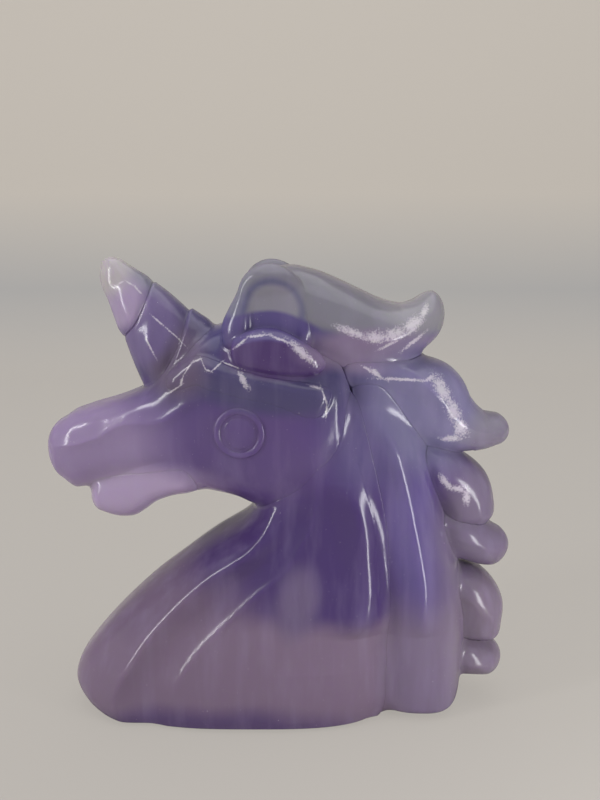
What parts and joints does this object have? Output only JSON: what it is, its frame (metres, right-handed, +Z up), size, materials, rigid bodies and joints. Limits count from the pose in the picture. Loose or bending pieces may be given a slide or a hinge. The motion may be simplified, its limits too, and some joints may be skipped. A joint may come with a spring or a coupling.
{
  "type": "unicorn figurine",
  "caption": "Polished stone bust of a unicorn with a spiral horn, raised mane locks and a flat base.",
  "frame": {"origin": "middle of the flat base, below the middle of the object's box", "axes": "+Z up, -X towards the nose, the horse's left side faces -Y"},
  "size_m": [0.0749, 0.0266, 0.0745],
  "materials": {
    "violet_fluorite": "polished",
    "lilac_fluorite": "polished",
    "clear_fluorite": "polished"
  },
  "bodies": {
    "root": {"bust": "violet_fluorite", "mane_fall": "violet_fluorite", "head": "violet_fluorite", "lower_jaw": "lilac_fluorite", "eye_left": "violet_fluorite", "eye_right": "violet_fluorite", "eyelid_left": "violet_fluorite", "eyelid_right": "violet_fluorite", "ear_left": "clear_fluorite", "ear_right": "clear_fluorite", "forelock_upper_left": "violet_fluorite", "forelock_upper_right": "violet_fluorite", "forelock_lower_left": "violet_fluorite", "forelock_lower_right": "violet_fluorite", "horn_collar": "violet_fluorite", "horn_middle": "violet_fluorite", "horn_tip": "clear_fluorite", "mane_lock_1": "clear_fluorite", "mane_lock_2": "lilac_fluorite", "mane_lock_3": "lilac_fluorite", "mane_lock_4": "lilac_fluorite", "mane_lock_5": "lilac_fluorite", "mane_lock_6": "lilac_fluorite"}
  },
  "joints": []
}
